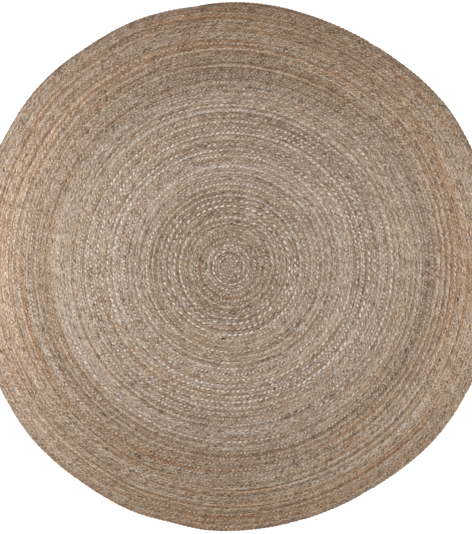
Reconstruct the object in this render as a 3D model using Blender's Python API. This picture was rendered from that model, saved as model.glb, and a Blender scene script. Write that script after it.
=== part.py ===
"""Round jute rug: one flat three-strand braid, coiled from the middle outwards and sewn edge to edge.

A place along the braid is a number of turns from the eye of the coil. Three lines follow the braid
there: its crest, the seam at its outer edge, and under the last turn the edge of the flat underside.
The top face runs up and down between seams and crests, so each row of the braid stands up as a rib.
The braid winds anticlockwise seen from above. Sizes are in metres unless a name says otherwise."""

import math

import bmesh
import bpy

# The coil
RIM_RADIUS = 1.0
TURNS = 47.5
ROW_WIDTH = RIM_RADIUS / (TURNS - 0.5)
EYE_OFFSET = -0.013  # the eye lies this far along X from the middle of the rim
TAIL_ANGLE = 98.0  # degrees anticlockwise from +X, where the outer end is tucked in

# Heights above the floor
CREST_HEIGHT = 0.009
SEAM_HEIGHT = 0.0065
RIM_HEIGHT = 0.0045  # the rim is widest here and turns under below
RIM_UNDERCUT = 0.003

# The outer end narrows over its last stretch
TAPER_TURNS = 0.06
TAIL_WIDTH = 0.006
TAIL_CREST_HEIGHT = 0.008

# How far the hand-wound coil strays from an even spiral at its rim. It strays less further in.
SWAY_POWER = 4
SWAY = (  # (degrees anticlockwise from +X, millimetres outwards)
    (0, 2.2),
    (15, 1.3),
    (28, 1.1),
    (36, 3.6),
    (44, -3.0),
    (52, -12.1),
    (64, -17.3),
    (76, -15.0),
    (104, 7.3),
    (112, 11.3),
    (124, 6.8),
    (132, 11.6),
    (140, 10.5),
    (152, 1.0),
    (180, 0.8),
    (208, -0.4),
    (220, 6.8),
    (236, 0.6),
    (248, 3.7),
    (256, -2.5),
    (264, 3.1),
    (276, -2.9),
    (284, -6.7),
    (296, -10.1),
    (304, -9.5),
    (312, -3.1),
    (320, 3.5),
    (332, 2.5),
)

# Facets: points in each turn, more of them as the turns get longer
STEPS = (  # (from this turn on, points a turn)
    (0, 15),
    (6, 30),
    (20, 60),
)

SAME_TURN = 1e-6  # places along the braid closer than this, in turns, are one place

JUTE_COLOUR = (0.365, 0.269, 0.195, 1.0)
JUTE_ROUGHNESS = 0.9
SHARP_DEGREES = 40


def remove_all_objects():
    for item in list(bpy.data.objects):
        bpy.data.objects.remove(item, do_unlink=True)


def braid_angle(turn):
    """Radians anticlockwise from +X at this place along the braid."""
    return math.radians(TAIL_ANGLE + 360 * (turn - TURNS))


def sway(angle):
    """The smooth curve through the rows of SWAY, in metres."""
    degrees = math.degrees(angle) % 360
    count = len(SWAY)
    after = next((i for i, row in enumerate(SWAY) if row[0] > degrees), count)
    rows = []
    for i in range(after - 2, after + 2):
        wound, place = divmod(i, count)
        rows.append((SWAY[place][0] + 360 * wound, SWAY[place][1]))
    (a0, s0), (a1, s1), (a2, s2), (a3, s3) = rows
    gap = a2 - a1
    leave = (s2 - s0) / (a2 - a0) * gap
    arrive = (s3 - s1) / (a3 - a1) * gap
    x = (degrees - a1) / gap
    value = s1 + x * leave
    value += x**2 * (3 * (s2 - s1) - 2 * leave - arrive)
    value += x**3 * (2 * (s1 - s2) + leave + arrive)
    return value / 1000


def full_radius(turn):
    """The braid's outer edge, if its end did not narrow."""
    return ROW_WIDTH * turn + sway(braid_angle(turn)) * (turn / TURNS) ** SWAY_POWER


def tail_share(turn):
    """1 along the braid, falling smoothly to 0 at its outer end."""
    return math.sin(math.pi / 2 * min((TURNS - turn) / TAPER_TURNS, 1))


def seam_radius(turn):
    outer = full_radius(turn)
    if turn <= TURNS - TAPER_TURNS:
        return outer
    inner = full_radius(turn - 1)
    return inner + TAIL_WIDTH + (outer - inner - TAIL_WIDTH) * tail_share(turn)


def crest_radius(turn):
    return (seam_radius(turn) + full_radius(max(turn - 1, 0))) / 2


def crest_height(turn):
    return TAIL_CREST_HEIGHT + (CREST_HEIGHT - TAIL_CREST_HEIGHT) * tail_share(turn)


def seam_height(turn):
    return RIM_HEIGHT if turn > TURNS - 1 else SEAM_HEIGHT


def coil_stops():
    """The places along the braid that have points."""
    ends = [start for start, steps in STEPS[1:]] + [TURNS]
    stops = []
    for (start, steps), end in zip(STEPS, ends):
        stops += [start + (i + 1) / steps for i in range(round((end - start) * steps))]
    return stops


def coil_point(mesh, turn, radius, height):
    angle = braid_angle(turn)
    eye = EYE_OFFSET * (1 - turn / TURNS)
    return mesh.verts.new((eye + radius * math.cos(angle), radius * math.sin(angle), height))


def bridge(mesh, inner, outer):
    """Triangles between two lines of (turn, point), stepping along the one that lags behind."""
    i = 0
    j = 0
    while i < len(inner) - 1 or j < len(outer) - 1:
        point = inner[i][1]
        across = outer[j][1]
        outer_done = j == len(outer) - 1
        inner_left = i < len(inner) - 1
        if outer_done or (inner_left and inner[i + 1][0] < outer[j + 1][0] + SAME_TURN):
            i += 1
            mesh.faces.new((point, across, inner[i][1]))
        else:
            j += 1
            mesh.faces.new((point, across, outer[j][1]))


def add_top(mesh):
    """The ribbed top face. Gives back the crest's outer end and the points along the rim."""
    eye = mesh.verts.new((EYE_OFFSET, 0, SEAM_HEIGHT))
    stops = coil_stops()
    seam = [(t, coil_point(mesh, t, seam_radius(t), seam_height(t))) for t in stops]
    crest = [(t, coil_point(mesh, t, crest_radius(t), crest_height(t))) for t in stops]
    row_inside = [(1, eye)] + [(t + 1, point) for t, point in seam if t < TURNS - 1 + SAME_TURN]
    mesh.faces.new((eye, crest[0][1], seam[0][1]))
    bridge(mesh, crest, seam)
    bridge(mesh, row_inside, crest)
    rim = [point for t, point in seam if t > TURNS - 1 - SAME_TURN]
    return crest[-1][1], rim


def add_side_and_underside(mesh, crest_end, rim):
    """The rim's edge, the small end of the tail, and the flat underside."""
    under = []
    for point in rim:
        across = point.co.xy
        inset = across.normalized() * RIM_UNDERCUT
        under.append(mesh.verts.new((*(across - inset), 0)))
    for i in range(len(rim) - 1):
        mesh.faces.new((rim[i], under[i], under[i + 1], rim[i + 1]))
    mesh.faces.new((rim[0], crest_end, rim[-1], under[-1], under[0]))
    mesh.faces.new(reversed(under))


def centre_on_floor(mesh):
    """Moves the rug so that the middle of its outline is the origin."""
    for axis in (0, 1):
        places = [point.co[axis] for point in mesh.verts]
        middle = (min(places) + max(places)) / 2
        for point in mesh.verts:
            point.co[axis] -= middle


def jute_material():
    material = bpy.data.materials.new("jute")
    material.use_nodes = True
    shader = material.node_tree.nodes["Principled BSDF"]
    shader.inputs["Base Color"].default_value = JUTE_COLOUR
    shader.inputs["Roughness"].default_value = JUTE_ROUGHNESS
    shader.inputs["Metallic"].default_value = 0.0
    material.diffuse_color = JUTE_COLOUR
    return material


def add_coiled_braid():
    shape = bmesh.new()
    crest_end, rim = add_top(shape)
    add_side_and_underside(shape, crest_end, rim)
    centre_on_floor(shape)
    bmesh.ops.recalc_face_normals(shape, faces=shape.faces)
    mesh = bpy.data.meshes.new("coiled_braid")
    shape.to_mesh(mesh)
    shape.free()
    mesh.shade_smooth()
    mesh.set_sharp_from_angle(angle=math.radians(SHARP_DEGREES))
    mesh.materials.append(jute_material())
    rug = bpy.data.objects.new("coiled_braid", mesh)
    bpy.context.scene.collection.objects.link(rug)
    return rug


def main():
    remove_all_objects()
    add_coiled_braid()


main()
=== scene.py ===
"""Dresses the round jute rug: one flat plait, coiled from the eye outwards and sewn edge to edge.

The plait is modelled as one long ribbon that follows the coil of the solid. A place along it is a
number of turns from the eye, a length in metres, or a number of lobes: a lobe is one bulge of a
strand in the inner or outer column of the plait, and the two columns are half a lobe apart.
Across it, 0 is the middle line, -1 is the inner edge and 1 is the outer edge."""

from functools import reduce
import math
from types import SimpleNamespace

import bpy
import numpy as np
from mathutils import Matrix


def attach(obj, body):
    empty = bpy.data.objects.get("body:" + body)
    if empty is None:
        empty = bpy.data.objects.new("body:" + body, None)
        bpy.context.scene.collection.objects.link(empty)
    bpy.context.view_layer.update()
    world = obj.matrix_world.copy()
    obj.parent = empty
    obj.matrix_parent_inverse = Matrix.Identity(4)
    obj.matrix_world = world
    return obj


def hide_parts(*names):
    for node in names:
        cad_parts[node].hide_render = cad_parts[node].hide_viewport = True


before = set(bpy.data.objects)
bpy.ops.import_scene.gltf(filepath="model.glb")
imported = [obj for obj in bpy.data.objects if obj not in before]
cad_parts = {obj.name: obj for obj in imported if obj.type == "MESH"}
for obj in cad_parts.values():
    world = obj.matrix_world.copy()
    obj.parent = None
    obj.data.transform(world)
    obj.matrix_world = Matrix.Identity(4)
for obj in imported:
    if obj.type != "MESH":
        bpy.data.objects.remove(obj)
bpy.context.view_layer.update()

bl_info = {
    "name": "Round Jute Rug",
    "version": (1, 0, 0),
    "blender": (4, 5, 0),
    "location": "View3D > Sidebar > Rug",
    "description": "Plaits, coils and colours a round jute rug and sets it on a studio floor",
    "category": "Add Mesh",
}

NODE = "coiled_braid"

# The coil, as the solid has it
RIM_RADIUS = 1.0
TURNS = 47.5
ROW_WIDTH = RIM_RADIUS / (TURNS - 0.5)
HALF_ROW = ROW_WIDTH / 2
EYE_OFFSET = -0.013
TAIL_ANGLE = 98.0
TAPER_TURNS = 0.06
TAIL_TIP = 0.0015  # finer than the solid's, so that the outer end runs out softly
TAIL_ROUNDNESS = 0.75
RIM_STEPS = 60
COIL_STEPS = 40000  # the plait's length is added up in this many steps
SWAY_POWER = 4
SWAY = (  # (degrees anticlockwise from +X, millimetres outwards)
    (0, 2.2), (15, 1.3), (28, 1.1), (36, 3.6), (44, -3.0), (52, -12.1), (64, -17.3),
    (76, -15.0), (104, 7.3), (112, 11.3), (124, 6.8), (132, 11.6), (140, 10.5),
    (152, 1.0), (180, 0.8), (208, -0.4), (220, 6.8), (236, 0.6), (248, 3.7),
    (256, -2.5), (264, 3.1), (276, -2.9), (284, -6.7), (296, -10.1), (304, -9.5),
    (312, -3.1), (320, 3.5), (332, 2.5),
)

# The relief of the plait. Heights are in metres, and places across it as above.
TOP_PLACES = np.array((-1, -0.7, -0.36, 0, 0.36, 0.7, 1))  # where the top has points across it
CREST_HEIGHTS = (0.0085, 0.0090, 0.0088, 0.0078)  # a lobe's back, from the middle line out
GROOVE_HEIGHTS = (0.0081, 0.0078, 0.0076, 0.0068)  # between two lobes of one column
LOBE_STEPS = np.array((0, 0.12, 0.38, 0.5, 0.62, 0.88))  # where a lobe's length has points
LOBE_FLATNESS = 2.6  # more makes a lobe's back flatter
LOBE_SLOPE = 0.6  # less makes it rise more steeply from the groove
LOBE_VARIATION = 0.0005  # how much higher or lower than the others a lobe may be
LIFT = 0.0003  # how much higher or lower a whole stretch of the plait may be
TAIL_HEIGHT = 0.3  # share of its height that the plait's outer end keeps
ZIGZAG = 0.15  # how far a lobe's tip crosses the middle line
REACH = 1.05  # how far a lobe's edge presses into the next row
NOTCH = 0.06  # how far the edge draws in between two lobes
RIM_NOTCH = 0.18  # how much further it does so at the rim
RIM_UNDERCUT = 0.28  # how far the underside is drawn in under the rim
RIM_START = 0.02  # turns over which the notches and the undercut of the rim begin
LEAN_START = 0.02  # metres from the eye to the first lobe that leans
LEAN_GROWTH = 0.25  # metres over which the lean grows from the eye, and fades to the outer end

# Openings, where an edge stands off the next row
GAP_HALF_LENGTHS = (0.004, 0.010)  # metres, shortest and longest
GAP_DEPTHS = (0.4, 1.0)  # as a share of the widest opening
GAP_RAMP = 1.5  # half lengths from the middle of a gap to where it closes
GAP_AT_EDGE = 0.2  # how far the edge draws in
GAP_BESIDE_EDGE = 0.1  # how far the points beside the edge draw in
GAP_SINK = 0.0015  # metres that the edge sinks
GAP_SHADE = 0.6  # how much painted shade the points beside the edge get in an opening, against the edge

# Metres along the plait from one random value of a slow wave to the next
PITCH_SPACING = 1.1
LIFT_SPACING = 0.35
WHITE_SPACING = 1.1
FLICKER_SPACING = 0.2

# The whitish strand: bleached yarn, and a painted highlight on the backs of the lobes
FLICKER_SHARE = 0.5  # strength of its shorter wave against its longer one
WHITE_USUAL = 0.92  # share of the lot's whitishness where both waves are at 0
WHITE_RUNS = 0.35  # how much the longer wave adds to that where it is at 1
WHITE_LIMITS = (0.3, 1.15)  # least and most that the waves leave of it
WHITE_BY_LOBE = (0.4, 1.2)  # least and most that one inner lobe has of that
PLAIN_INNER_LOBES = 0.1  # share of the inner lobes that stay plain
WHITE_OUTER_LOBES = 0.15  # share of the outer lobes that are whitish too
OUTER_WHITENESS = 0.6  # how whitish those are, against the inner lobes

# Texture maps and what else the mesh carries for the material
PLAIT_MAP = "plait_map"  # metres along the plait and out from its middle line
STRAND_MAP = "strand_map"  # metres along a strand and out from its own middle line
POINT_VALUES = ("lot_light", "lot_warm", "lobe_width", "edge", "opening", "rim")
FACE_VALUES = ("white", "strand", "lobe_tone")
LOBE_SHIFT = 0.05  # metres between the patterns of two lobes on the strand map
UNDER_SPREAD = 0.4  # share of its width that the strand map counts across the underside
UNDER_TONE = 0.5  # the underside's lobe tone, from 0 to 1
NAP_SHADING_WARMTH = 0.6  # how much warmer the jute is painted where the painted shading by direction makes it darker
RIM_SHADE_SLANT = 0.25  # turns by which the rim's shade begins later at the middle line
BAKE_ROWS = 24  # the ribbon is laid out in this many rows on its texture map
BAKE_TOP = (0.37, 0.25)  # middle and half height of the top in such a row
BAKE_UNDER = (0.86, 0.10)  # the same of the underside
BAKE_FOOT = 1.4  # where the foot of a side lies in such a row, if the top's edge lies at 1
BAKE_MARGIN = 0.002  # what stays free at either end of a row

# Lots of plait, from the eye outwards. A lot blends into the next over LOT_BLEND turns each way.
LOT_BLEND = 0.2
LIGHT, WARM, WHITISH, PITCH, NAP_SHADING = range(1, 6)
LOTS = (
    # (from this turn on, light, warm, how whitish the backs of the inner lobes are, pitch in mm,
    #  how much darker its painted shading makes it where it runs along X than where it runs along Y:
    #  painted shade and sheen, from how its fibres lie to the light)
    (0.0, 0.35, 0.60, 0.85, 14, 0.04),
    (0.8, 0.37, 0.57, 0.95, 15, 0.04),
    (2.8, 0.41, 0.48, 0.80, 19, 0.04),
    (4.2, 0.42, 0.46, 0.68, 15, 0.04),
    (7.4, 0.43, 0.44, 0.48, 19, 0.08),
    (9.0, 0.42, 0.42, 0.64, 23, 0.08),
    (11.0, 0.46, 0.40, 0.90, 23, 0.08),
    (13.2, 0.50, 0.40, 0.72, 16, 0.02),
    (16.8, 0.66, 0.38, 0.62, 16, 0.02),
    (17.4, 0.66, 0.38, 0.76, 21, 0.02),
    (18.4, 0.66, 0.38, 0.70, 17, 0.02),
    (20.8, 0.62, 0.38, 0.64, 19, 0.12),
    (22.0, 0.59, 0.38, 0.82, 23, 0.12),
    (23.6, 0.57, 0.38, 0.75, 17, 0.12),
    (24.4, 0.57, 0.38, 0.82, 22, 0.12),
    (25.4, 0.57, 0.38, 0.70, 17, 0.12),
    (27.8, 0.60, 0.38, 0.62, 15, 0.06),
    (29.2, 0.63, 0.38, 0.54, 27, 0.02),
    (31.0, 0.59, 0.40, 0.54, 20, 0.02),
    (32.2, 0.49, 0.44, 0.56, 17, 0.06),
    (33.4, 0.37, 0.46, 0.50, 14, 0.14),
    (36.0, 0.46, 0.56, 0.48, 16, 0.08),
    (37.2, 0.55, 0.62, 0.38, 14.5, 0.08),
    (39.2, 0.62, 0.70, 0.40, 21, 0.08),
    (40.4, 0.67, 0.66, 0.40, 20, 0.10),
    (42.2, 0.62, 0.62, 0.30, 17, 0.16),
    (44.2, 0.54, 0.58, 0.28, 17, 0.28),
    (46.0, 0.47, 0.56, 0.31, 17, 0.32),
)

# The studio. Lengths are in metres.
FLOOR_RADIUS = 30
FLOOR_HEIGHT = -0.0003
FLOOR_GLOW = 0.42  # light that the floor gives off, so that it looks plain white
SKY_LIGHT = 0.62  # how brightly the studio's white surround lights the rug
SOFTBOX_WIDTH = 1.4
SOFTBOXES = (  # (name, place, watts, colour)
    ("left softbox", (-2.05, 0, 1.0), 47, (0.94, 0.96, 1.0)),
    ("right softbox", (2.85, 0, 0.9), 69, (1.0, 1.0, 1.0)),
)
LENS = 85  # millimetres
PICTURE_HEIGHT = 2.021724  # how much of the floor the picture shows from top to bottom
CAMERA_ASIDE = (0.0049, -0.0019)  # X and Y of the camera, which looks straight down


def braid_angle(turn):
    """Radians anticlockwise from +X."""
    return np.radians(TAIL_ANGLE + 360 * (turn - TURNS))


def sway(angle):
    """The smooth closed curve through the rows of SWAY, in metres."""
    rows = np.array(SWAY)
    degrees = np.degrees(angle) % 360
    places = np.concatenate((rows[-2:, 0] - 360, rows[:, 0], rows[:2, 0] + 360))
    values = np.concatenate((rows[-2:, 1], rows[:, 1], rows[:2, 1]))
    after = np.searchsorted(places, degrees, side="right")
    a0, a1, a2, a3 = (places[after + k] for k in (-2, -1, 0, 1))
    s0, s1, s2, s3 = (values[after + k] for k in (-2, -1, 0, 1))
    gap = a2 - a1
    leave = (s2 - s0) / (a2 - a0) * gap
    arrive = (s3 - s1) / (a3 - a1) * gap
    x = (degrees - a1) / gap
    value = s1 + x * leave + x**2 * (3 * (s2 - s1) - 2 * leave - arrive)
    return (value + x**3 * (2 * (s1 - s2) + leave + arrive)) / 1000


def full_radius(turn):
    return ROW_WIDTH * turn + sway(braid_angle(turn)) * (turn / TURNS) ** SWAY_POWER


def tail_share(turn):
    """1 along the plait, falling smoothly to 0 at its outer end."""
    return np.sin(math.pi / 2 * np.clip((TURNS - turn) / TAPER_TURNS, 0, 1)) ** TAIL_ROUNDNESS


def seam_radius(turn):
    """The plait's outer edge, narrowed at its outer end."""
    outer = full_radius(turn)
    inner = full_radius(np.maximum(turn - 1, 0))
    share = tail_share(turn)
    return np.where(share < 1, inner + TAIL_TIP + (outer - inner - TAIL_TIP) * share, outer)


def coil_place(turn, across):
    """X and Y of a place on the plait, before the rug is centred."""
    inner = full_radius(np.maximum(turn - 1, 0))
    outer = seam_radius(turn)
    radius = (inner + outer) / 2 + across * (outer - inner) / 2
    eye = EYE_OFFSET * (1 - (turn - (1 - across) / 2) / TURNS)
    angle = braid_angle(turn)
    return eye + radius * np.cos(angle), radius * np.sin(angle)


def rim_middle():
    """The middle of the rim's outline, which the rug is centred on."""
    x, y = coil_place(TURNS - 1 + np.arange(RIM_STEPS + 1) / RIM_STEPS, 1.0)
    return (x.min() + x.max()) / 2, (y.min() + y.max()) / 2


def lot_value(column, turn):
    """What the plait's lot has in this column of LOTS."""
    lots = np.array(LOTS)
    joins = np.stack((lots[1:, 0] - LOT_BLEND, lots[1:, 0] + LOT_BLEND), 1).ravel()
    return np.interp(turn, joins, np.repeat(lots[:, column], 2)[1:-1])


def drift(rng, length, spacing):
    """A slow random wave from -1 to 1, as a function of a length along the plait."""
    knots = np.arange(-spacing, length + 2 * spacing, spacing)
    values = rng.uniform(-1, 1, len(knots))

    def wave(at):
        place = (np.asarray(at) + spacing) / spacing
        low = np.clip(place.astype(int), 0, len(knots) - 2)
        x = place - low
        return values[low] + (values[low + 1] - values[low]) * x * x * (3 - 2 * x)

    return wave


class Plait:
    """Where the lobes of the plait lie, and how they differ by hand and by lot."""

    def __init__(self, sizes):
        rng = np.random.default_rng(sizes.seed)
        turns = np.linspace(0, TURNS, COIL_STEPS + 1)
        x, y = coil_place(turns, 0.0)
        steps = np.hypot(np.diff(x), np.diff(y))
        self.turns = turns
        self.lengths = np.concatenate(((0,), np.cumsum(steps)))
        self.length = self.lengths[-1]
        tight = drift(rng, self.length, PITCH_SPACING)
        self.pitches = lot_value(PITCH, turns) / 1000 * sizes.pitch_scale
        self.pitches *= 1 + sizes.hand_variation * tight(self.lengths)
        lobes = np.concatenate(((0,), np.cumsum(steps / self.pitches[1:])))
        self.count = round(lobes[-1])
        self.lobes = lobes * self.count / lobes[-1]
        self.middle = rim_middle()
        self.tall = rng.uniform(-1, 1, (2, self.count + 2))
        self.tone = rng.random((2, self.count + 2))
        self.lift = drift(rng, self.length, LIFT_SPACING)
        self.gaps = [self.scatter_gaps(rng, sizes.gaps_per_metre) for _ in range(2)]
        self.lean_share = sizes.lobe_lean
        self.white = self.whiten(rng)

    def whiten(self, rng):
        """How whitish the top of each lobe is. The inner column's are, more or less, in runs."""
        number = np.arange(self.count + 2)
        length = self.length_at(number)
        run = drift(rng, self.length, WHITE_SPACING)(length)
        run += FLICKER_SHARE * drift(rng, self.length, FLICKER_SPACING)(length)
        whiteness = lot_value(WHITISH, self.turn_at(length))
        whiteness *= np.clip(WHITE_USUAL + WHITE_RUNS * run, *WHITE_LIMITS)
        inner = whiteness * rng.uniform(*WHITE_BY_LOBE, len(number))
        inner *= rng.random(len(number)) > PLAIN_INNER_LOBES
        outer = OUTER_WHITENESS * whiteness * (rng.random(len(number)) < WHITE_OUTER_LOBES)
        return np.stack((inner, outer))

    def scatter_gaps(self, rng, per_metre):
        """The openings along one edge: lengths along it, half lengths and depths."""
        count = int(self.length * per_metre)
        at = np.sort(rng.uniform(0, self.length, count))
        return at, rng.uniform(*GAP_HALF_LENGTHS, count), rng.uniform(*GAP_DEPTHS, count)

    def gap(self, side, length):
        """How open an edge is, from 0 to 1. Side 0 is the inner edge and side 1 the outer."""
        at, half, depth = self.gaps[side]
        near = np.clip(np.searchsorted(at, length), 1, len(at) - 1)
        near = np.where(length - at[near - 1] < at[near] - length, near - 1, near)
        off = np.abs(length - at[near]) / half[near]
        return depth[near] * np.clip(GAP_RAMP - off, 0, 1)

    def length_at(self, lobe):
        return np.interp(lobe, self.lobes, self.lengths)

    def turn_at(self, length):
        return np.interp(length, self.lengths, self.turns)

    def pitch_at(self, lobe):
        return np.interp(lobe, self.lobes, self.pitches)

    def lean_at(self, lobe):
        """How much further along the edge a lobe is than at the middle line, less so near the ends."""
        length = self.length_at(lobe)
        room = np.minimum(length - LEAN_START, self.length - length)
        return self.lean_share * self.pitch_at(lobe) * np.clip(room / LEAN_GROWTH, 0, 1)

    def rim_share(self, length):
        """1 on the outermost turn and 0 inside it."""
        return np.clip((self.turn_at(length) - TURNS + 1) / RIM_START, 0, 1)

    def point(self, lobe, across, height):
        """Length, turn, X, Y and Z of a point of the plait."""
        length = self.length_at(lobe) + self.lean_at(lobe) * (np.abs(across) - 0.5)
        turn = self.turn_at(length)
        x, y = coil_place(turn, across)
        return length, turn, x - self.middle[0], y - self.middle[1], height


def lobe_round(share):
    """How far up a lobe's back a place is, from 0 in the groove to 1 on top."""
    return (1 - np.abs(2 * share - 1) ** LOBE_FLATNESS) ** LOBE_SLOPE


def top_points(plait, lobes):
    """The points across the top of the plait at each of these places along it."""
    lobe = lobes[:, None]
    length = plait.length_at(lobes)
    across = np.broadcast_to(TOP_PLACES, (len(lobes), len(TOP_PLACES))).copy()
    column = (across > 0).astype(int)
    shifted = lobe + 0.5 * column
    number = np.floor(shifted + 1e-6).astype(int)
    up = lobe_round(np.clip(shifted - number, 0, 1))

    middle = len(TOP_PLACES) // 2
    rank = np.abs(np.arange(len(TOP_PLACES)) - middle)
    crest, groove = np.array(CREST_HEIGHTS)[rank], np.array(GROOVE_HEIGHTS)[rank]
    height = groove + (crest - groove) * up
    height += LOBE_VARIATION * plait.tall[column, number] * up * (rank > 0)
    swing = np.cos(2 * math.pi * lobes)
    across[:, middle] = -ZIGZAG * swing
    height[:, middle] = groove[middle] + (crest[middle] - groove[middle]) * np.abs(swing)
    height += LIFT * plait.lift(length)[:, None]
    height *= TAIL_HEIGHT + (1 - TAIL_HEIGHT) * tail_share(plait.turn_at(length))[:, None]

    opening = np.zeros_like(height)
    for side, edge, beside in ((0, 0, 1), (1, -1, -2)):
        outwards = 2 * side - 1
        gap = plait.gap(side, length)
        notch = NOTCH + RIM_NOTCH * side * plait.rim_share(length)
        across[:, edge] = outwards * (REACH - notch * (1 - up[:, edge]) - GAP_AT_EDGE * gap)
        across[:, beside] -= outwards * GAP_BESIDE_EDGE * gap
        height[:, edge] -= GAP_SINK * gap
        opening[:, edge], opening[:, beside] = gap, GAP_SHADE * gap
    return plait.point(lobe, across, height) + (across, opening)


def under_points(plait, lobes):
    """The two corners of the flat underside, the outer one drawn in under the rim."""
    outer = 1 - RIM_UNDERCUT * plait.rim_share(plait.length_at(lobes))
    across = np.stack((np.full(len(lobes), -REACH), outer), 1)
    height = np.zeros_like(across)
    return plait.point(lobes[:, None], across, height) + (across, height)


def quads(rows, first, width, flipped):
    """The quads of a grid of points, row by row."""
    start = first + np.arange(rows - 1)[:, None] * width + np.arange(width - 1)
    corners = (start, start + 1, start + width + 1, start + width)
    if flipped:
        corners = corners[::-1]
    return np.stack(corners, axis=-1).reshape(-1, 4)


def edge_faces(tops, unders, flipped):
    """The plait's edge, with all of a lobe's steps above and one below."""
    steps = len(LOBE_STEPS)
    half = steps // 2
    above = [tops[k : len(tops) - steps + k : steps] for k in range(steps + 1)]
    b0, b1 = unders[:-1], unders[1:]
    corners = [(b0, b1, above[half])]
    corners += [(b0 if k < half else b1, above[k + 1], above[k]) for k in range(steps)]
    faces = np.concatenate([np.stack(rows, 1) for rows in corners])
    return faces[:, ::-1] if flipped else faces


def stretch_mesh(plait, name, start, end):
    """One closed stretch of the plait, from lobe start to lobe end."""
    whole = np.arange(start, end)
    top_lobes = np.append((whole[:, None] + LOBE_STEPS).ravel(), end)
    under_lobes = np.arange(start, end + 1)
    wide = len(TOP_PLACES)
    base = len(top_lobes) * wide
    parts = top_points(plait, top_lobes), under_points(plait, under_lobes)

    def joined(index):
        values = [np.broadcast_to(part[index], part[-1].shape).ravel() for part in parts]
        return np.concatenate(values)

    length, turn, x, y, z, across, opening = (joined(index) for index in range(7))
    lobe = np.concatenate((np.repeat(top_lobes, wide), np.repeat(under_lobes, 2)))

    t = np.arange(len(top_lobes)) * wide
    b = base + np.arange(len(under_lobes)) * 2
    groups = [
        quads(len(top_lobes), 0, wide, False),
        quads(len(under_lobes), base, 2, True),
        edge_faces(t + wide - 1, b + 1, False),
        edge_faces(t, b, True),
        np.array([[b[0], b[0] + 1, *(t[0] + np.arange(wide)[::-1])]]),
        np.array([[*(t[-1] + np.arange(wide)), b[-1] + 1, b[-1]]]),
    ]
    mesh = bpy.data.meshes.new(name)
    points = np.stack((x, y, z), 1).tolist()
    mesh.from_pydata(points, [], [face for group in groups for face in group.tolist()])
    mesh.shade_smooth()

    corner = np.concatenate([group.ravel() for group in groups])
    counts = np.concatenate([np.full(len(group), group.shape[1]) for group in groups])
    firsts = np.concatenate(((0,), np.cumsum(counts)[:-1]))
    column = (np.add.reduceat(across[corner], firsts) > 0).astype(int)
    middle_lobe = np.add.reduceat(lobe[corner], firsts) / counts
    at = SimpleNamespace(
        # of each point
        length=length,
        turn=turn,
        across=across,
        opening=opening,
        lobe=lobe,
        # of each face
        firsts=firsts,
        column=column,
        number=np.clip(np.floor(middle_lobe + 0.5 * column).astype(int), 0, plait.count + 1),
        is_under=np.minimum.reduceat((corner >= base).astype(int), firsts).astype(bool),
        # of each corner of a face
        corner=corner,
        owner=np.repeat(np.arange(len(counts)), counts),
    )
    paint(mesh, plait, at)
    add_bake_map(mesh, at, start, end, corner >= base)
    mesh.uv_layers.active = mesh.uv_layers[PLAIT_MAP]
    mesh.uv_layers[PLAIT_MAP].active_render = True
    return mesh


def add_values(mesh, domain, names, columns):
    for name, values in zip(names, columns):
        attribute = mesh.attributes.new(name, "FLOAT", domain)
        attribute.data.foreach_set("value", values.astype(np.float32))


def add_map(mesh, name, u, v):
    layer = mesh.uv_layers.new(name=name, do_init=False)
    layer.uv.foreach_set("vector", np.stack((u, v), 1).astype(np.float32).ravel())


def paint(mesh, plait, at):
    """Maps and attributes that the material reads."""
    lobe_length = np.hypot(plait.lean_at(at.lobe), HALF_ROW)
    lobe_width = plait.pitch_at(at.lobe) * HALF_ROW / lobe_length
    # painted sheen and shade: lighter where the plait runs along Y, darker where it runs along X
    nap_shading = lot_value(NAP_SHADING, at.turn) / 2 * np.cos(2 * braid_angle(at.turn))
    rim = at.turn - (TURNS - 1) + (at.across - 1) * RIM_SHADE_SLANT
    on_points = (
        lot_value(LIGHT, at.turn) + nap_shading,
        lot_value(WARM, at.turn) - NAP_SHADING_WARMTH * nap_shading,
        lobe_width,
        np.abs(at.across),
        at.opening,
        np.clip(rim, 0, 1),
    )
    on_faces = (
        np.where(at.is_under, 0, plait.white[at.column, at.number]),
        np.where(at.is_under, 0, (2 * at.number + at.column) % 3),
        np.where(at.is_under, UNDER_TONE, plait.tone[at.column, at.number]),
    )
    add_values(mesh, "POINT", POINT_VALUES, on_points)
    add_values(mesh, "FACE", FACE_VALUES, on_faces)

    length, across = at.length[at.corner], at.across[at.corner]
    add_map(mesh, PLAIT_MAP, length, across * HALF_ROW)
    along = (np.abs(at.across) * lobe_length)[at.corner] + LOBE_SHIFT * at.number[at.owner]
    side = at.lobe[at.corner] + 0.5 * at.column[at.owner] - at.number[at.owner] - 0.5
    below = at.is_under[at.owner]  # the flat underside's yarns simply run along the plait
    along = np.where(below, length, along)
    side = np.where(below, UNDER_SPREAD * HALF_ROW * across, side * lobe_width[at.corner])
    add_map(mesh, STRAND_MAP, along, side)


def add_bake_map(mesh, at, start, end, is_low):
    """Lays the ribbon out in rows: the top with its sides, and the underside above it."""
    row_lobes = math.ceil((end - start) / BAKE_ROWS)
    lobe, across, is_under = at.lobe[at.corner], at.across[at.corner], at.is_under[at.owner]
    lowest = np.minimum.reduceat(lobe, at.firsts)[at.owner]
    row = np.clip(((lowest - start + 1e-6) // row_lobes).astype(int), 0, BAKE_ROWS - 1)
    u = np.clip((lobe - start - row * row_lobes) / row_lobes, 0, 1)
    reach = np.where(is_low & ~is_under, np.sign(across) * BAKE_FOOT, across)
    middle, half_height = (np.where(is_under, *pair) for pair in zip(BAKE_UNDER, BAKE_TOP))
    v = middle + half_height * reach
    add_map(mesh, "OFBake", BAKE_MARGIN + (1 - 2 * BAKE_MARGIN) * u, (row + v) / BAKE_ROWS)


# Node groups and the material


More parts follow.
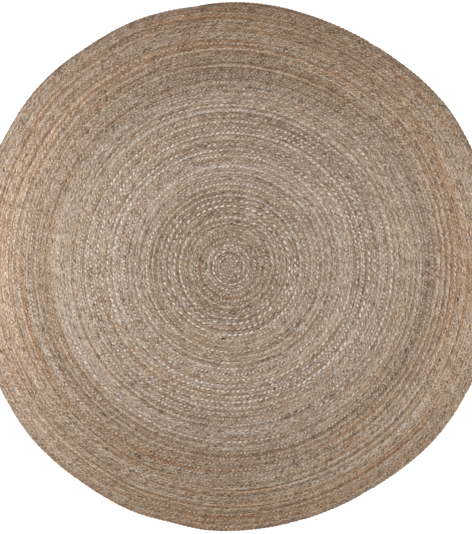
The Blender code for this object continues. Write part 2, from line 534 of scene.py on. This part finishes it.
def new_group(name, inputs, outputs):
    """A shader node group. An input is a number with a default, or a vector where it has none."""
    group = bpy.data.node_groups.new(name, "ShaderNodeTree")
    for label, default in inputs.items():
        kind = "NodeSocketVector" if default is None else "NodeSocketFloat"
        socket = group.interface.new_socket(label, in_out="INPUT", socket_type=kind)
        if default is not None:
            socket.default_value = default
    for label in outputs:
        group.interface.new_socket(label, in_out="OUTPUT", socket_type="NodeSocketFloat")
    return group, Wiring(group)


class Wiring:
    """Adds nodes to a tree and joins them. A value is a number, a colour or another's output."""

    def __init__(self, tree):
        self.tree = tree

    def add(self, kind, **settings):
        node = self.tree.nodes.new(kind)
        for key, value in settings.items():
            setattr(node, key, value)
        return node

    def feed(self, socket, value):
        if isinstance(value, bpy.types.NodeSocket):
            self.tree.links.new(value, socket)
        elif value is not None:
            socket.default_value = value

    def math(self, operation, a, b=None, c=None):
        node = self.add("ShaderNodeMath", operation=operation)
        for socket, value in zip(node.inputs, (a, b, c)):
            self.feed(socket, value)
        return node.outputs[0]

    def plus(self, a, b):
        return self.math("ADD", a, b)

    def minus(self, a, b):
        return self.math("SUBTRACT", a, b)

    def times(self, a, b):
        return self.math("MULTIPLY", a, b)

    def over(self, a, b):
        return self.math("DIVIDE", a, b)

    def swing(self, value, strength):
        """How far a value from 0 to 1 is above its middle, times a strength."""
        return self.times(self.minus(value, 0.5), strength)

    def off_middle(self, value):
        """How far a value's fraction is from 0.5."""
        return self.math("ABSOLUTE", self.minus(self.math("FRACT", value), 0.5))

    def span(self, value, low, high, to_low=0.0, to_high=1.0, smooth=True):
        """Maps low to high onto another range, and stays inside that."""
        interpolation = "SMOOTHSTEP" if smooth else "LINEAR"
        node = self.add("ShaderNodeMapRange", interpolation_type=interpolation)
        names = ("Value", "From Min", "From Max", "To Min", "To Max")
        for name, part in zip(names, (value, low, high, to_low, to_high)):
            self.feed(node.inputs[name], part)
        return node.outputs["Result"]

    def mix(self, share, a, b, blend="MIX"):
        node = self.add("ShaderNodeMix", data_type="RGBA", blend_type=blend)
        for socket, value in zip((node.inputs[0], node.inputs[6], node.inputs[7]), (share, a, b)):
            self.feed(socket, value)
        return node.outputs[2]

    def noise(self, dimensions, place, scale, detail=2.0):
        """Smooth noise along a value, "1D", or over the X and Y of a vector, "2D"."""
        node = self.add("ShaderNodeTexNoise", noise_dimensions=dimensions)
        self.feed(node.inputs["W" if dimensions == "1D" else "Vector"], place)
        self.feed(node.inputs["Scale"], scale)
        self.feed(node.inputs["Detail"], detail)
        return node.outputs["Fac"]

    def cells(self, along, side):
        """Three random numbers for each uneven cell of this place."""
        node = self.add("ShaderNodeTexVoronoi", voronoi_dimensions="2D")
        self.feed(node.inputs["Vector"], self.join(along, side))
        self.feed(node.inputs["Scale"], 1.0)
        return self.split(node.outputs["Color"])

    def join(self, x=None, y=None, z=None):
        node = self.add("ShaderNodeCombineXYZ")
        for socket, value in zip(node.inputs, (x, y, z)):
            self.feed(socket, value)
        return node.outputs[0]

    def split(self, vector):
        node = self.add("ShaderNodeSeparateXYZ")
        self.feed(node.inputs[0], vector)
        return node.outputs

    def inside(self):
        return self.add("NodeGroupInput").outputs

    def give(self, **values):
        node = self.add("NodeGroupOutput")
        for name, value in values.items():
            self.feed(node.inputs[name.replace("_", " ")], value)

    def place(self, group, **values):
        node = self.add("ShaderNodeGroup", node_tree=group)
        for name, value in values.items():
            self.feed(node.inputs[name.replace("_", " ")], value)
        return node.outputs

    def attribute(self, name):
        return self.add("ShaderNodeAttribute", attribute_name=name).outputs["Fac"]

    def map(self, name):
        return self.add("ShaderNodeUVMap", uv_map=name).outputs["UV"]


def yarn_twist_group():
    """Round yarns side by side in a strand, each with the slant lines of its twist. The material
    paints shade in the furrows between the yarns.
    """
    group, w = new_group(
        "Yarn Twist",
        {
            "Strand Map": None,
            "Yarn Width": 0.0026,
            "Twist Length": 0.005,
            "Wobble": 0.0016,
            "Wobbles per Metre": 90.0,
            "Roundness": 0.75,
            "Twist Depth": 0.5,
        },
        ("Height", "Furrow"),
    )
    given = w.inside()
    along, side, _ = w.split(given["Strand Map"])
    wobble = w.times(w.noise("1D", along, given["Wobbles per Metre"]), given["Wobble"])
    yarns = w.over(w.plus(side, wobble), given["Yarn Width"])
    aside = w.off_middle(yarns)
    nearly_whole = 1.96  # a little under 2, so that the root stays above 0
    round_top = w.minus(1.0, w.math("POWER", w.times(aside, nearly_whole), 2.0))
    round_top = w.math("SQRT", round_top)
    lay = w.plus(w.over(along, given["Twist Length"]), w.math("FRACT", yarns))
    ply = w.off_middle(lay)
    height = w.plus(w.times(round_top, given["Roundness"]), w.times(ply, given["Twist Depth"]))
    w.give(Height=height, Furrow=w.span(aside, 0.36, 0.5))
    return group


def loose_fibre_group():
    """Fine fibres along a strand."""
    group, w = new_group(
        "Loose Fibres",
        {"Strand Map": None, "Fineness": 2600.0, "Shortness": 0.08, "Slant": 0.22},
        ("Fibres",),
    )
    given = w.inside()
    along, side, _ = w.split(given["Strand Map"])
    side = w.plus(side, w.times(along, given["Slant"]))
    stretched = w.join(w.times(along, given["Shortness"]), side)
    w.give(Fibres=w.noise("2D", stretched, given["Fineness"]))
    return group


def fleck_group():
    """Flecks a few millimetres long on the yarns, frayed at their ends.

    Each is lighter or darker, and redder or greyer, and some larger ones may be specks of bark."""
    group, w = new_group(
        "Jute Flecks",
        {
            "Strand Map": None,
            "Fibres": 0.5,
            "Fray": 0.0035,
            "Length": 0.0021,
            "Width": 0.0026,
            "Bark Length": 0.011,
            "Bark Width": 0.004,
        },
        ("Tone", "Hue", "Bark"),
    )
    given = w.inside()
    along, side, _ = w.split(given["Strand Map"])
    along = w.plus(along, w.times(given["Fibres"], given["Fray"]))
    tone, hue, _ = w.cells(w.over(along, given["Length"]), w.over(side, given["Width"]))
    bark, _, _ = w.cells(w.over(along, given["Bark Length"]), w.over(side, given["Bark Width"]))
    w.give(Tone=tone, Hue=hue, Bark=bark)
    return group


def whitish_crest_group():
    """A fuzzy oblong on the back of a lobe, larger where the lobe is more whitish: bleached yarn, and
    a painted highlight.
    """
    group, w = new_group(
        "Whitish Crest",
        {
            "Strand Map": None,
            "Edge": 0.0,
            "Lobe Width": 0.01,
            "Whitish": 0.0,
            "Fray": 0.5,
            "Slant": 0.5,
            "Half Width": 0.27,
            "Softness": 0.5,
            "Least Size": 0.6,
        },
        ("Mask",),
    )
    given = w.inside()
    _, side, _ = w.split(given["Strand Map"])
    off = w.minus(given["Edge"], 0.5)
    out = w.math("POWER", w.over(off, given["Half Width"]), 2.0)
    share = w.plus(w.over(side, given["Lobe Width"]), w.times(off, given["Slant"]))
    half_length = w.span(given["Lobe Width"], 0.0086, 0.0102, 0.23, 0.32, smooth=False)
    aside = w.math("POWER", w.over(share, half_length), 2.0)
    reach = w.plus(w.plus(out, aside), w.swing(given["Fray"], 0.5))
    size = w.plus(given["Least Size"], w.times(given["Whitish"], 0.6))
    body = w.span(reach, size, w.minus(size, given["Softness"]))
    w.give(Mask=w.times(body, w.span(given["Whitish"], 0.0, 0.8, smooth=False)))
    return group


def strand_drift_group():
    """Slow changes along each of the three strands, as raw jute differs from lot to lot."""
    group, w = new_group(
        "Strand Drift",
        {
            "Length": 0.0,
            "Strand": 0.0,
            "Lobe Tone": 0.5,
            "Slow per Metre": 0.45,
            "Middling per Metre": 3.4,
            "Quick per Metre": 30.0,
        },
        ("Slow", "Middling", "Quick"),
    )
    given = w.inside()
    strands_apart, apart = 417.0, 61.0  # metres, so that no pattern repeats another
    place = w.plus(given["Length"], w.times(given["Strand"], strands_apart))
    slow = w.noise("1D", place, given["Slow per Metre"])
    middling = w.noise("1D", w.plus(place, apart), given["Middling per Metre"])
    along = w.noise("1D", place, given["Quick per Metre"])
    quick = w.plus(w.times(given["Lobe Tone"], 0.4), w.times(along, 0.6))
    w.give(Slow=slow, Middling=middling, Quick=quick)
    return group


def row_streak_group():
    """Long fine lines of lighter, darker or redder yarn, along either column of the plait."""
    group, w = new_group(
        "Row Streaks",
        {"Plait Map": None, "Slimness": 100.0, "Tone per Metre": 1.0, "Red per Metre": 1.2},
        ("Tone", "Red"),
    )
    given = w.inside()
    length, out, _ = w.split(given["Plait Map"])
    out = w.times(out, given["Slimness"])
    apart = 340.0  # metres, so that the two patterns differ
    tone = w.noise("2D", w.join(length, out), given["Tone per Metre"], detail=1.0)
    red = w.noise("2D", w.join(w.plus(length, apart), out), given["Red per Metre"], detail=1.0)
    w.give(Tone=tone, Red=red)
    return group


def seam_shade_group():
    """Painted shade along the seams, strong in some stretches, and painted black shade inside the
    openings.
    """
    group, w = new_group(
        "Seam Shade",
        {
            "Plait Map": None,
            "Edge": 0.0,
            "Opening": 0.0,
            "Stretches per Metre": 1.7,
            "Shade Speckles per Metre": 70.0,
        },
        ("Shade", "Hole"),
    )
    given = w.inside()
    length, _, _ = w.split(given["Plait Map"])
    apart = 33.0  # metres, so that the two patterns differ
    stretch = w.noise("1D", length, given["Stretches per Metre"])
    shade_speckles = w.noise("1D", w.plus(length, apart), given["Shade Speckles per Metre"], detail=1.0)
    strength = w.times(w.span(stretch, 0.42, 0.62), w.span(shade_speckles, 0.35, 0.65))
    line = w.span(given["Edge"], 0.8, 1.0)
    w.give(Shade=w.times(line, strength), Hole=w.span(given["Opening"], 0.35, 0.75))
    return group


def jute_patterns(w):
    """What the mesh carries and the patterns put out, by name."""
    strand_map, plait_map = w.map(STRAND_MAP), w.map(PLAIT_MAP)
    at = SimpleNamespace(**{name: w.attribute(name) for name in POINT_VALUES + FACE_VALUES})
    length, at.across, _ = w.split(plait_map)
    _, at.across_strand, _ = w.split(strand_map)
    at.twist = w.place(yarn_twist_group(), Strand_Map=strand_map)
    at.fibre = w.place(loose_fibre_group(), Strand_Map=strand_map)["Fibres"]
    at.fleck = w.place(fleck_group(), Strand_Map=strand_map, Fibres=at.fibre)
    at.streak = w.place(row_streak_group(), Plait_Map=plait_map)
    at.drift = w.place(
        strand_drift_group(), Length=length, Strand=at.strand, Lobe_Tone=at.lobe_tone
    )
    at.seam = w.place(seam_shade_group(), Plait_Map=plait_map, Edge=at.edge, Opening=at.opening)
    at.crest = w.place(
        whitish_crest_group(),
        Strand_Map=strand_map,
        Edge=at.edge,
        Lobe_Width=at.lobe_width,
        Whitish=at.white,
        Fray=at.fleck["Tone"],
    )["Mask"]
    return at


def raw_jute(w, at, colours):
    """Brown to beige along the strands, greyed in the cool lots and russet in the warm ones."""
    paler = w.plus(at.drift["Quick"], w.swing(at.drift["Middling"], 0.5))
    colour = w.mix(w.span(paler, 0.0, 1.0), tuple(colours.brown), tuple(colours.beige))
    hue = w.swing(at.fleck["Hue"], 0.45)
    greyer = w.minus(w.times(at.drift["Slow"], 2.6), w.times(at.lot_warm, 0.55))
    greyed = w.span(w.minus(greyer, hue), 0.85, 1.4)
    colour = w.mix(greyed, colour, tuple(colours.grey))
    redder = w.plus(w.times(at.streak["Red"], 3.4), w.swing(at.lot_warm, 2.0))
    reddened = w.span(w.plus(redder, hue), 1.98, 2.38, 0.0, 0.9)
    return w.mix(reddened, colour, tuple(colours.russet))


def lightness(w, at):
    """How light the jute is: by lot, fleck and streak, with painted shading by direction, painted
    shade on the outer column and painted light at the edges.
    """
    by_lot = w.plus(at.lot_light, w.swing(at.drift["Slow"], 0.4))
    fibrous = w.plus(at.fleck["Tone"], w.minus(at.fibre, 0.5))
    factors = (
        w.span(by_lot, 0.2, 0.8, 0.63, 0.98, smooth=False),
        w.span(fibrous, 0.2, 0.8, 0.34, 1.66),
        w.span(at.streak["Tone"], 0.35, 0.65, 0.84, 1.16),
        # painted shade: the outer column darker than the inner
        w.span(at.across, -0.002, 0.002, 1.02, 0.96),
        # painted light along the edges, which lifts the relief's shade in the seams
        w.span(at.edge, 0.7, 0.95, 1.0, 1.22),
    )
    return reduce(w.times, factors)


def jute_material(colours):
    """Dry matt jute, with what lies over its raw colour laid on in the order of the table."""
    material = bpy.data.materials.new("plaited jute")
    material.use_nodes = True
    tree = material.node_tree
    tree.nodes.clear()
    w = Wiring(tree)
    at = jute_patterns(w)

    lighter = lightness(w, at)
    browner = w.join(w.math("POWER", lighter, 0.77), lighter, w.math("POWER", lighter, 1.25))
    colour = w.mix(1.0, raw_jute(w, at, colours), browner, "MULTIPLY")
    bark = w.plus(at.fleck["Bark"], w.times(w.minus(at.lot_warm, at.lot_light), 0.2))
    bark = w.minus(bark, w.swing(at.streak["Tone"], 0.5))
    off_strand = w.over(w.math("ABSOLUTE", at.across_strand), at.lobe_width)
    for mask, strength, laid_on in (
        (w.span(bark, 0.92, 0.95), 0.85, colours.shade_and_bark),
        # bleached yarn, and a painted highlight on the backs of the lobes
        (at.crest, 0.9, colours.whitish),
        # painted shade in the grooves between lobes
        (w.span(off_strand, 0.38, 0.5), 0.32, colours.shade_and_bark),
        # painted shade in the furrows between yarns
        (at.twist["Furrow"], 0.25, colours.shade_and_bark),
        (w.span(at.fibre, 0.6, 0.8), 0.2, colours.whitish),
        (at.rim, 0.25, colours.shade_and_bark),
        # painted shade along the seams
        (at.seam["Shade"], 0.25, colours.shade_and_bark),
        # painted black shade inside the openings
        (at.seam["Hole"], 1.0, colours.hole_shade),
    ):
        colour = w.mix(w.times(mask, strength), colour, tuple(laid_on))

    shader = w.add("ShaderNodeBsdfPrincipled")
    w.feed(shader.inputs["Base Color"], colour)
    w.feed(shader.inputs["Roughness"], w.span(at.fibre, 0.2, 0.8, 0.9, 0.7))
    shader.inputs["Specular IOR Level"].default_value = 0.3
    shader.inputs["Sheen Weight"].default_value = 0.05
    bump = w.add("ShaderNodeBump")
    bump.inputs["Distance"].default_value = 0.0009
    bump.inputs["Strength"].default_value = 0.8
    w.feed(bump.inputs["Height"], w.plus(at.twist["Height"], w.times(at.fibre, 0.5)))
    w.feed(shader.inputs["Normal"], bump.outputs[0])
    output = w.add("ShaderNodeOutputMaterial")
    w.feed(output.inputs["Surface"], shader.outputs[0])
    return material


def floor_material(colour):
    """White paper that glows a little."""
    material = bpy.data.materials.new("studio floor")
    material.use_nodes = True
    shader = material.node_tree.nodes["Principled BSDF"]
    shader.inputs["Base Color"].default_value = tuple(colour)
    shader.inputs["Roughness"].default_value = 0.85
    shader.inputs["Specular IOR Level"].default_value = 0.1
    shader.inputs["Emission Color"].default_value = (1.0, 1.0, 1.0, 1.0)
    shader.inputs["Emission Strength"].default_value = FLOOR_GLOW
    return material


# Properties, operators and panel


def share_property(name, description, default):
    return bpy.props.FloatProperty(
        name=name, description=description, default=default, subtype="FACTOR"
    )


def colour_property(name, description, red, green, blue):
    return bpy.props.FloatVectorProperty(
        name=name,
        description=description,
        subtype="COLOR",
        size=4,
        min=0,
        max=1,
        default=(red, green, blue, 1.0),
    )


class JuteRugSizes(bpy.types.PropertyGroup):
    """Sizes of the plait."""

    pitch_scale: share_property(
        "Pitch Scale", "Lengthens or shortens the lobes of all lots", 1.0
    )
    lobe_lean: share_property(
        "Lobe Lean", "How far a lobe leans along the plait, as a share of its pitch", 0.95
    )
    hand_variation: share_property(
        "Hand Variation", "How much the pitch changes along the plait", 0.18
    )
    gaps_per_metre: bpy.props.FloatProperty(
        name="Gaps per Metre",
        description="Small openings along each edge of the plait",
        default=1.6,
    )
    stretches: bpy.props.IntProperty(
        name="Stretches", description="Pieces that the plait is made in", default=6
    )
    seed: bpy.props.IntProperty(
        name="Seed", description="Starts the hand-made differences", default=7
    )


class JuteRugColours(bpy.types.PropertyGroup):
    """Colours of the jute and the floor."""

    brown: colour_property("Brown", "Darker raw jute", 0.315, 0.214, 0.138)
    beige: colour_property("Beige", "Paler raw jute", 0.452, 0.329, 0.217)
    grey: colour_property("Grey", "Greyed jute", 0.376, 0.293, 0.223)
    russet: colour_property("Russet", "Red-brown jute of the warm lots", 0.34, 0.19, 0.098)
    # bleached yarn, the paler loose fibres, and a painted highlight on the backs of the lobes
    whitish: colour_property("Whitish", "Bleached yarn", 0.74, 0.70, 0.625)
    # painted shade between lobes, between yarns and along the seams, the darkening of the last turn,
    # and the real colour of bark specks
    shade_and_bark: colour_property("Deep", "Between yarns, in seams and on bark", 0.10, 0.065, 0.04)
    # painted shade inside the openings, near black
    hole_shade: colour_property("Hole", "Inside an opening", 0.02, 0.014, 0.011)
    floor: colour_property("Floor", "Studio floor", 0.98, 0.98, 0.98)


class RUG_OT_plait(bpy.types.Operator):
    """Make the plaited ribbon that coils into the rug, in stretches of equal length"""

    bl_idname = "rug.plait"
    bl_label = "Plait"

    def execute(self, context):
        sizes = context.scene.rug_sizes
        plait = Plait(sizes)
        material = jute_material(context.scene.rug_colours)
        lengths = np.linspace(0, plait.length, sizes.stretches + 1)
        ends = np.rint(np.interp(lengths, plait.lengths, plait.lobes)).astype(int)
        for number, (start, end) in enumerate(zip(ends[:-1], ends[1:]), 1):
            name = f"plait_stretch_{number}"
            piece = bpy.data.objects.new(name, stretch_mesh(plait, name, start, end))
            context.scene.collection.objects.link(piece)
            piece.data.materials.append(material)
            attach(piece, "root")
            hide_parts(NODE)
        return {"FINISHED"}


class RUG_OT_stage(bpy.types.Operator):
    """Set the floor, the lights and the camera straight above the rug"""

    bl_idname = "rug.stage"
    bl_label = "Stage"

    def execute(self, context):
        self.lay_floor(context.scene.rug_colours.floor)
        self.surround(context.scene)
        for softbox in SOFTBOXES:
            self.hang_softbox(context.scene, *softbox)
        self.set_camera(context.scene)
        context.scene.view_settings.view_transform = "Standard"
        return {"FINISHED"}

    def lay_floor(self, colour):
        bpy.ops.object.select_all(action="DESELECT")
        bpy.ops.mesh.primitive_circle_add(
            vertices=96, radius=FLOOR_RADIUS, fill_type="NGON", location=(0, 0, FLOOR_HEIGHT)
        )
        floor = bpy.context.object
        floor.name = "floor"
        bpy.ops.object.transform_apply()
        floor.data.materials.append(floor_material(colour))

    def surround(self, scene):
        """A white surround: plain white where the camera sees it, dimmer where it lights the rug."""
        world = bpy.data.worlds.new("studio")
        scene.world = world
        world.use_nodes = True
        w = Wiring(world.node_tree)
        background = world.node_tree.nodes["Background"]
        background.inputs["Color"].default_value = (1.0, 1.0, 1.0, 1.0)
        looked_at = w.add("ShaderNodeLightPath").outputs["Is Camera Ray"]
        strength = w.math("MULTIPLY_ADD", looked_at, 1 - SKY_LIGHT, SKY_LIGHT)
        w.feed(background.inputs["Strength"], strength)

    def hang_softbox(self, scene, name, place, watts, colour):
        lamp = bpy.data.lights.new(name, "AREA")
        lamp.shape = "DISK"
        lamp.size = SOFTBOX_WIDTH
        lamp.energy = watts
        lamp.color = colour
        softbox = bpy.data.objects.new(name, lamp)
        scene.collection.objects.link(softbox)
        softbox.visible_camera = False
        softbox.location = place
        aim = -softbox.location
        softbox.rotation_euler = aim.to_track_quat("-Z", "Y").to_euler()

    def set_camera(self, scene):
        optics = bpy.data.cameras.new("above")
        optics.lens = LENS
        camera = bpy.data.objects.new("above", optics)
        scene.collection.objects.link(camera)
        camera.location = (*CAMERA_ASIDE, PICTURE_HEIGHT * LENS / optics.sensor_width)
        scene.camera = camera


class RUG_PT_panel(bpy.types.Panel):
    """Steps and values of the rug"""

    bl_idname = "RUG_PT_panel"
    bl_label = "Round Jute Rug"
    bl_space_type = "VIEW_3D"
    bl_region_type = "UI"
    bl_category = "Rug"

    def draw(self, context):
        for values in (context.scene.rug_sizes, context.scene.rug_colours):
            for name in values.__annotations__:
                self.layout.prop(values, name)
        for operator in (RUG_OT_plait, RUG_OT_stage):
            self.layout.operator(operator.bl_idname)


CLASSES = (JuteRugSizes, JuteRugColours, RUG_OT_plait, RUG_OT_stage, RUG_PT_panel)


def register():
    for kind in CLASSES:
        bpy.utils.register_class(kind)
    bpy.types.Scene.rug_sizes = bpy.props.PointerProperty(type=JuteRugSizes)
    bpy.types.Scene.rug_colours = bpy.props.PointerProperty(type=JuteRugColours)


def unregister():
    del bpy.types.Scene.rug_colours
    del bpy.types.Scene.rug_sizes
    for kind in reversed(CLASSES):
        bpy.utils.unregister_class(kind)


def main():
    register()
    bpy.ops.rug.stage()
    bpy.ops.rug.plait()


if __name__ == "__main__":
    main()
